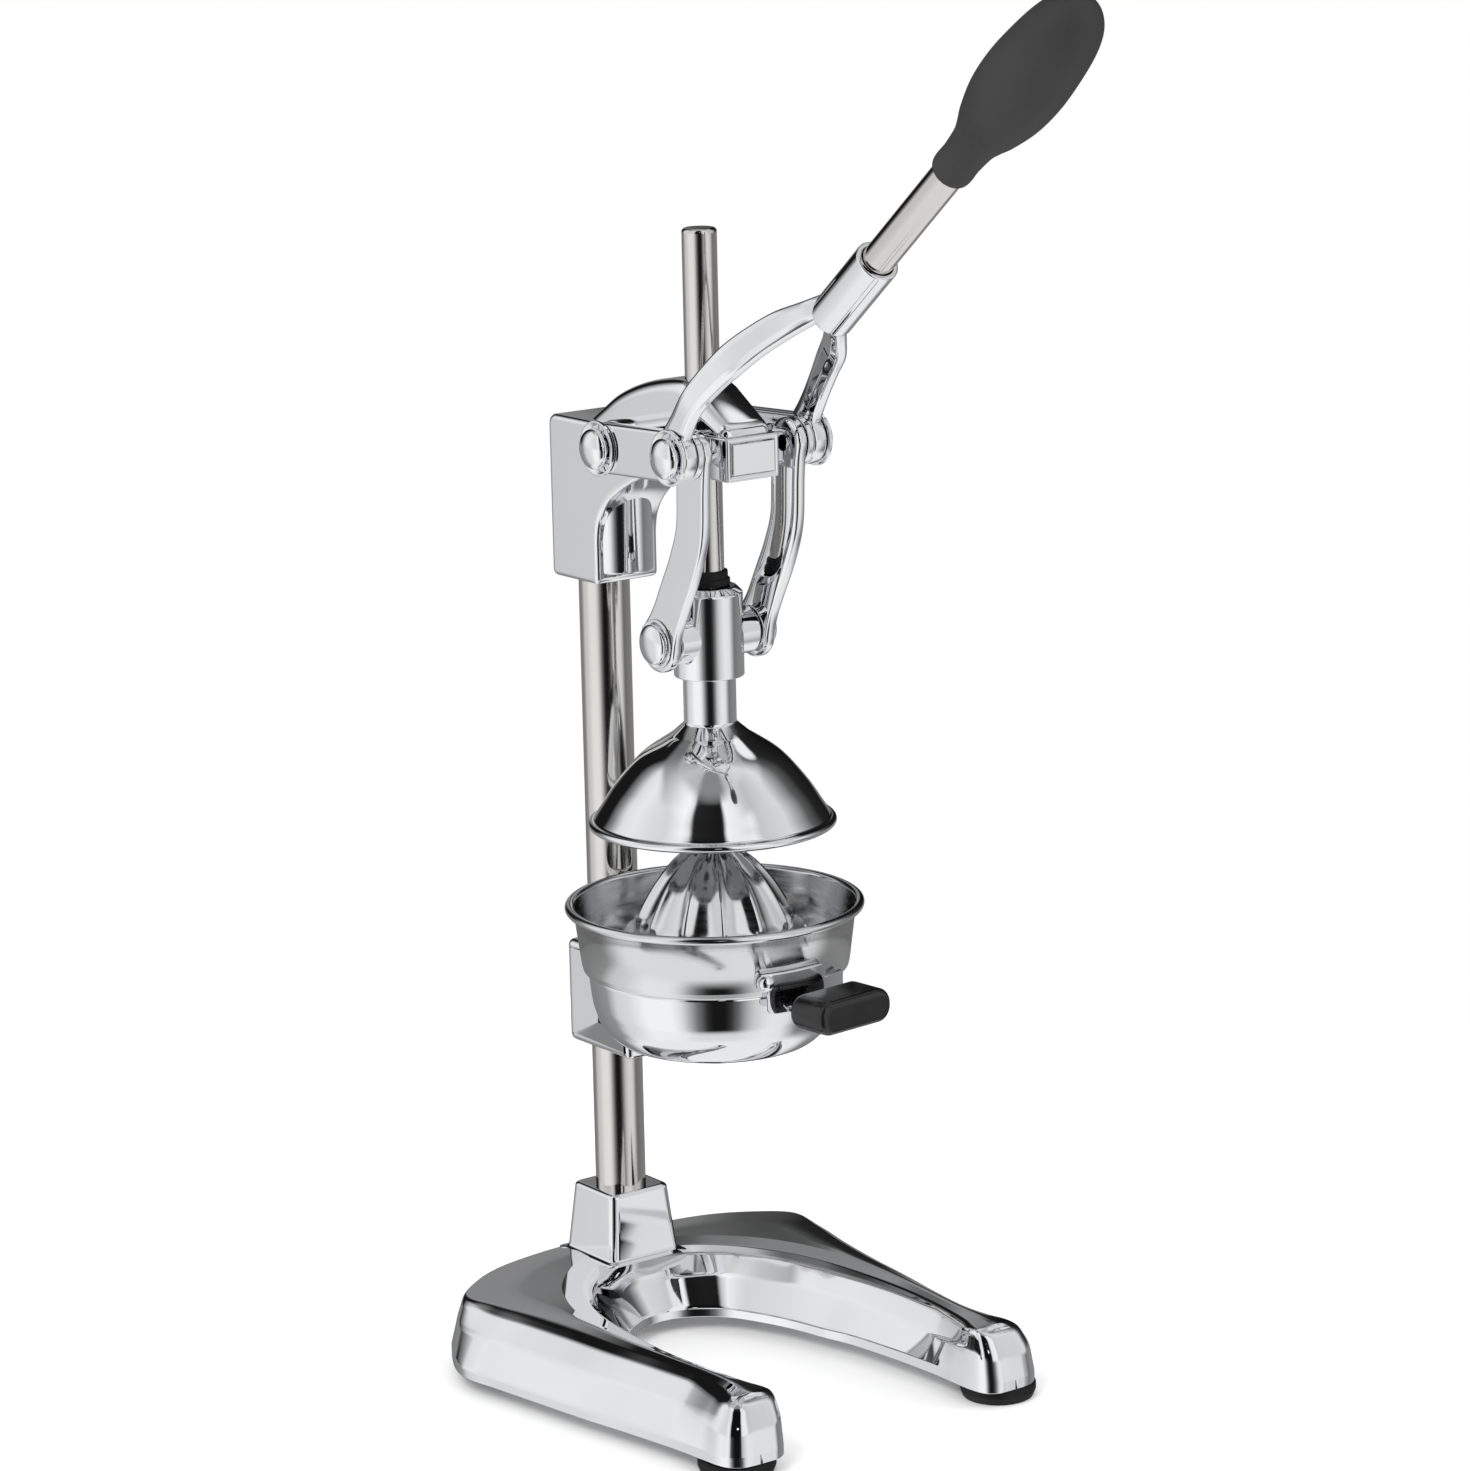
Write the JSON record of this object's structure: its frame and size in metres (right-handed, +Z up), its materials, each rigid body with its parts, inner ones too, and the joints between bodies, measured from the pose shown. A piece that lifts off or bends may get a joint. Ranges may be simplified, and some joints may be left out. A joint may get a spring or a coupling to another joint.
{
  "type": "lever citrus juice press",
  "caption": "Chromed lever citrus press: U-shaped base, column, forked lever with grip, guided rod with pressing dome, and a steel bowl with strainer and ribbed reamer.",
  "frame": {"origin": "middle of the footprint of the whole press, on the surface that its feet stand on", "axes": "+Z up along the column, -Y to the front, where the legs and the lever point, +X to the right when looking along +Y"},
  "size_m": [0.199, 0.335, 0.5684],
  "materials": {
    "chrome": "polished",
    "bar_steel": "polished",
    "bowl_steel": "satin",
    "black_rubber": "matte",
    "soft_grip": "matte",
    "black_plastic": "satin",
    "bronze": "satin"
  },
  "bodies": {
    "root": {"base_casting": "chrome", "foot_front_left": "black_rubber", "foot_front_right": "black_rubber", "foot_back_left": "black_rubber", "foot_back_right": "black_rubber", "foot_screw_front_left": "bar_steel", "foot_screw_front_right": "bar_steel", "foot_screw_back_left": "bar_steel", "foot_screw_back_right": "bar_steel", "column": "bar_steel", "column_washer": "bar_steel", "column_bolt": "bar_steel", "head_casting": "chrome", "nose_plate": "chrome", "guide_bush": "bronze", "head_set_screw": "bar_steel", "lever_pin_left": "chrome", "lever_pin_right": "chrome", "lever_pin_washer_left": "chrome", "lever_pin_washer_right": "chrome", "bowl_holder": "chrome", "holder_set_screw": "bar_steel"},
    "lever": {"lever_yoke": "chrome", "lever_rod": "bar_steel", "lever_grip": "soft_grip", "link_pin_left": "chrome", "link_pin_right": "chrome", "link_pin_washer_left": "chrome", "link_pin_washer_right": "chrome", "link_spacer_left": "chrome", "link_spacer_right": "chrome"},
    "links": {"link_left": "chrome", "link_right": "chrome", "cross_pin_left": "chrome", "cross_pin_right": "chrome", "cross_pin_washer_left": "chrome", "cross_pin_washer_right": "chrome"},
    "ram": {"guide_rod": "bar_steel", "bumper_ring": "black_rubber", "crosshead": "chrome", "crosshead_set_screw": "bar_steel", "press_dome": "chrome"},
    "bowl": {"juice_bowl": "bowl_steel", "handle_bracket": "chrome", "handle_grip": "black_plastic", "handle_rivet": "chrome", "strainer_plate": "bowl_steel", "reamer_cone": "bowl_steel"}
  },
  "joints": [
    {"name": "lever_pivot", "type": "hinge", "parent": "root", "child": "lever", "pos_m": [0, 0.09, 0.381], "axis": [1, 0, 0], "range_deg": [-30, 36]},
    {"name": "link_hinge", "type": "hinge", "parent": "lever", "child": "links", "pos_m": [0, 0.0425, 0.383], "axis": [1, 0, 0], "range_deg": [-36, 30]},
    {"name": "ram_slide", "type": "slide", "parent": "root", "child": "ram", "axis": [0, 0, 1], "range_m": [-0.0284, 0.0237]},
    {"name": "bowl_swivel", "type": "hinge", "parent": "root", "child": "bowl", "pos_m": [0, 0.0675, 0.17], "axis": [0, 0, 1], "range_deg": [-120, 120]}
  ],
  "couplings": [
    {"joint": "link_hinge", "follows": "lever_pivot", "ratio": -1},
    {"joint": "ram_slide", "follows": "lever_pivot", "m_per_rad": -0.045}
  ]
}
